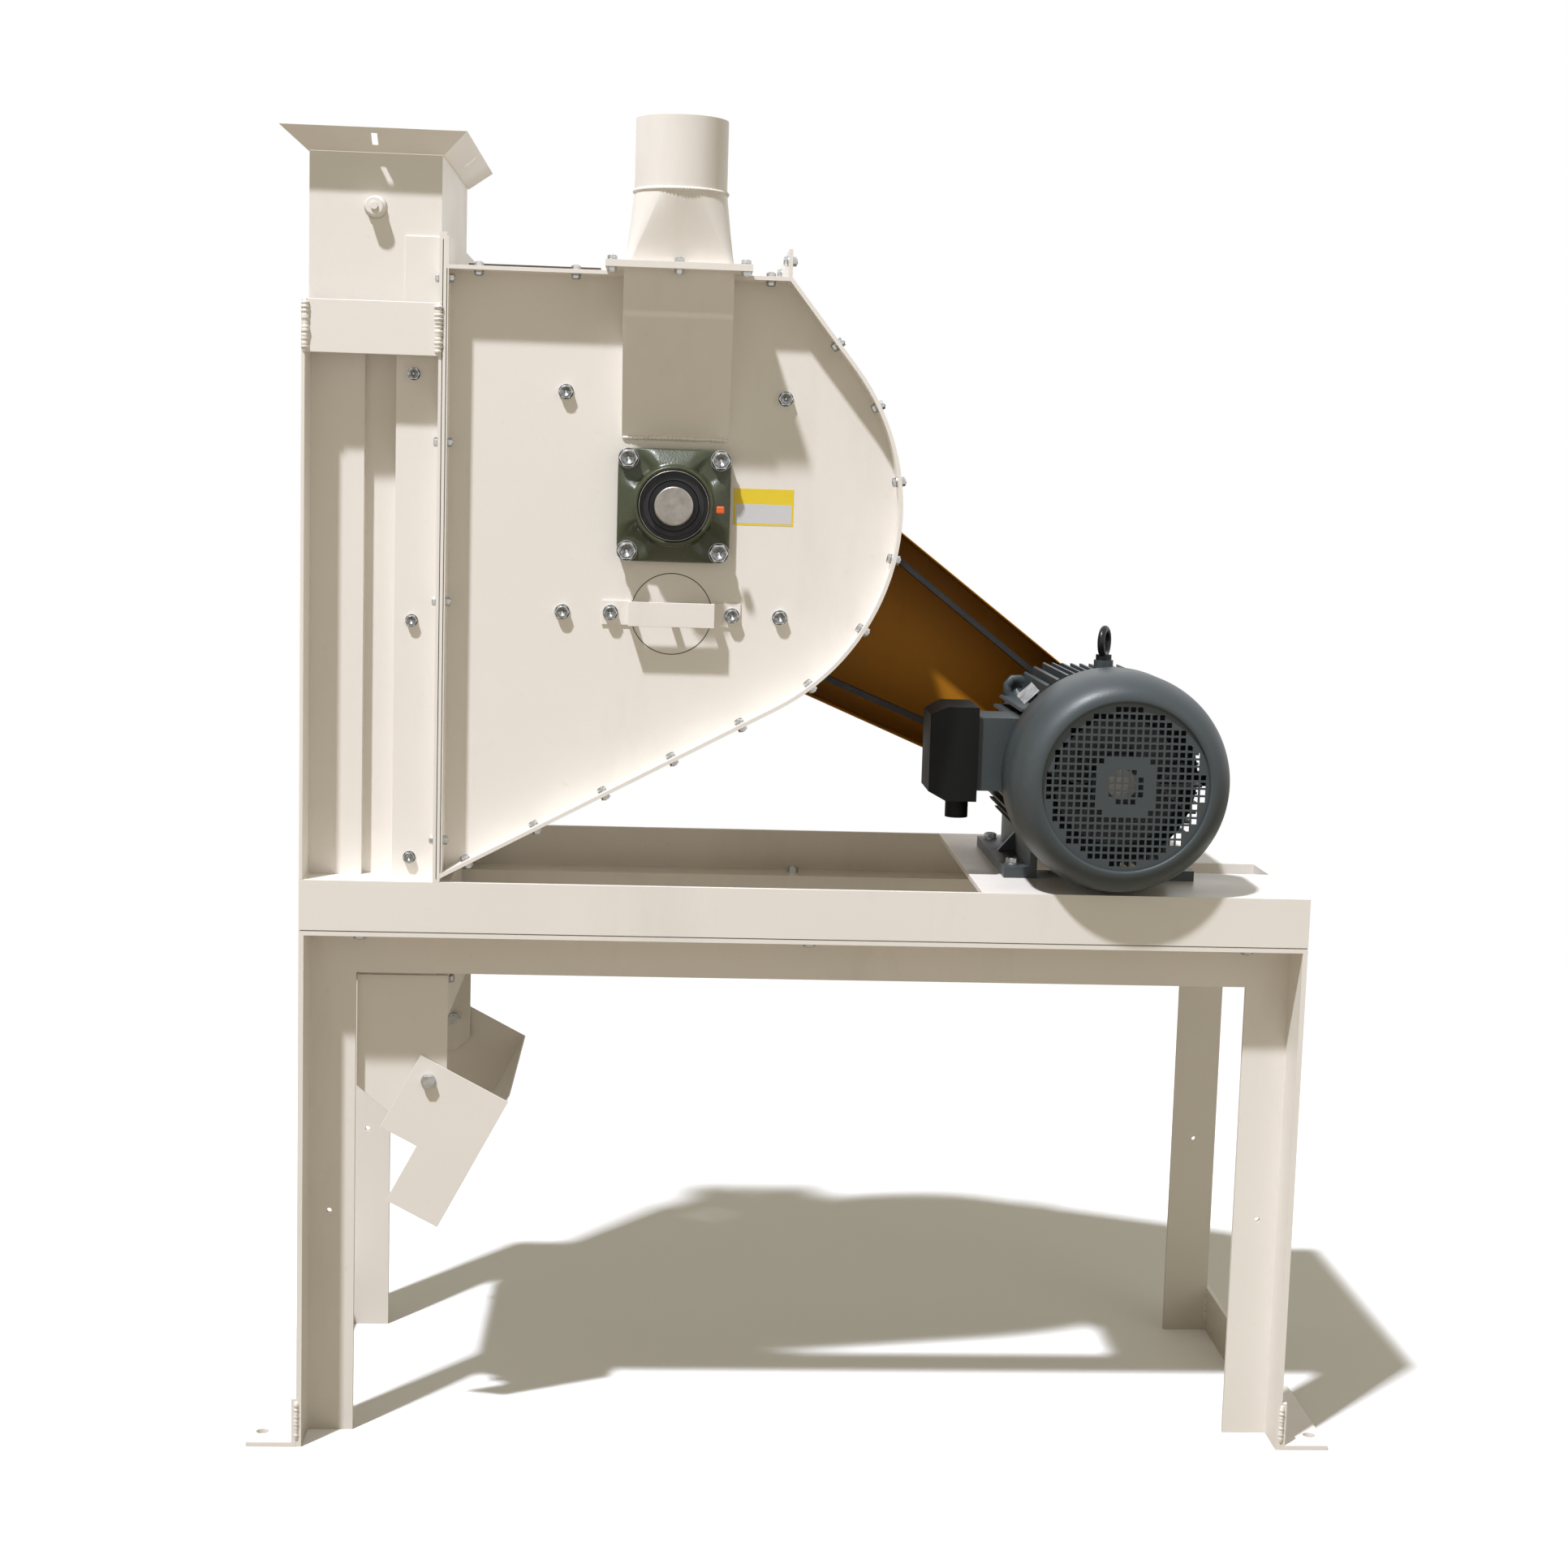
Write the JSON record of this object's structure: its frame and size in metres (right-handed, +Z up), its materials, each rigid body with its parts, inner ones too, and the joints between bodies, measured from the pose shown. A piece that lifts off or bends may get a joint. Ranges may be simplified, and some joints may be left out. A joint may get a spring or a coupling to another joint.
{
  "type": "coffee huller",
  "caption": "Belt-driven coffee huller: drum in a sheet casing with feed pipe, air column with damper, tilting discharge spout, electric motor and belt guard on an angle-iron stand.",
  "frame": {"origin": "centre of the four anchor holes, on the floor", "axes": "+X to the right seen from the side with the shaft end and the feed chute, towards the motor; +Y from that side to the belt guard; +Z up"},
  "size_m": [1.76, 0.717, 2.094],
  "materials": {
    "cream": "semi-gloss cream paint",
    "ochre": "semi-gloss ochre paint",
    "motor_paint": "semi-gloss slate green paint",
    "black_paint": "satin black paint",
    "bearing_green": "olive green machine paint",
    "zinc": "zinc plated",
    "steel": "machined",
    "black_steel": "blackened",
    "iron": "machined cast iron",
    "belt": "matt",
    "fan": "cast"
  },
  "bodies": {
    "machine": {"leg_front_left": "cream", "leg_front_right": "cream", "leg_back_left": "cream", "leg_back_right": "cream", "floor_rails": "cream", "stand_long_rails": "cream", "stand_side_rails": "cream", "base_long_rails": "cream", "base_side_rails": "cream", "column_floor_plate": "cream", "column_left_plate": "cream", "column_right_plate": "cream", "column_crossbars": "cream", "column_front_panel": "cream", "column_back_panel": "cream", "air_box": "cream", "air_box_flare": "cream", "chute_neck": "cream", "discharge_chute": "cream", "spout_pivots": "zinc", "casing_front_plate": "cream", "casing_back_plate": "cream", "casing_top_plate": "cream", "casing_wrapper": "cream", "casing_wall_plate": "cream", "casing_edge_bolts": "zinc", "end_plate_bolts": "zinc", "bearing_bolts": "zinc", "hatch_disc": "cream", "hatch_strap": "cream", "feed_chute": "cream", "feed_transition": "cream", "feed_pipe": "cream", "feed_bolts": "zinc", "bearing_housings": "bearing_green", "bearing_outer_rings": "steel", "bearing_balls": "steel", "screen_cage": "steel", "hulling_bar": "iron", "v_belts": "belt", "belt_guard": "ochre", "motor_mount": "cream", "motor_body": "motor_paint", "fan_cover": "motor_paint", "fan_grille": "motor_paint", "terminal_box": "black_paint", "eye_bolt": "black_steel", "frame_bolts": "zinc", "motor_foot_bolts": "zinc", "column_bolts": "zinc"},
    "rotor": {"rotor_shaft": "steel", "hulling_drum": "iron", "bearing_inner_rings": "black_steel", "huller_pulley": "iron"},
    "motor_rotor": {"motor_shaft": "steel", "motor_fan": "fan", "motor_pulley": "iron"},
    "damper": {"damper_flap": "steel"},
    "spout": {"spout": "cream"}
  },
  "joints": [
    {"name": "rotor_spin", "type": "hinge", "parent": "machine", "child": "rotor", "pos_m": [-0.232, 0, 1.515], "axis": [0, 1, 0], "continuous": true},
    {"name": "motor_spin", "type": "hinge", "parent": "machine", "child": "motor_rotor", "pos_m": [0.484, 0, 1.1], "axis": [0, 1, 0], "continuous": true},
    {"name": "damper_turn", "type": "hinge", "parent": "machine", "child": "damper", "pos_m": [-0.694, 0, 1.952], "axis": [0, 1, 0], "range_deg": [0, 90]},
    {"name": "spout_swing", "type": "hinge", "parent": "machine", "child": "spout", "pos_m": [-0.605, 0, 0.581], "axis": [0, 1, 0], "range_deg": [-20, 56]}
  ],
  "couplings": [
    {"joint": "motor_spin", "follows": "rotor_spin", "ratio": 2.5714}
  ]
}
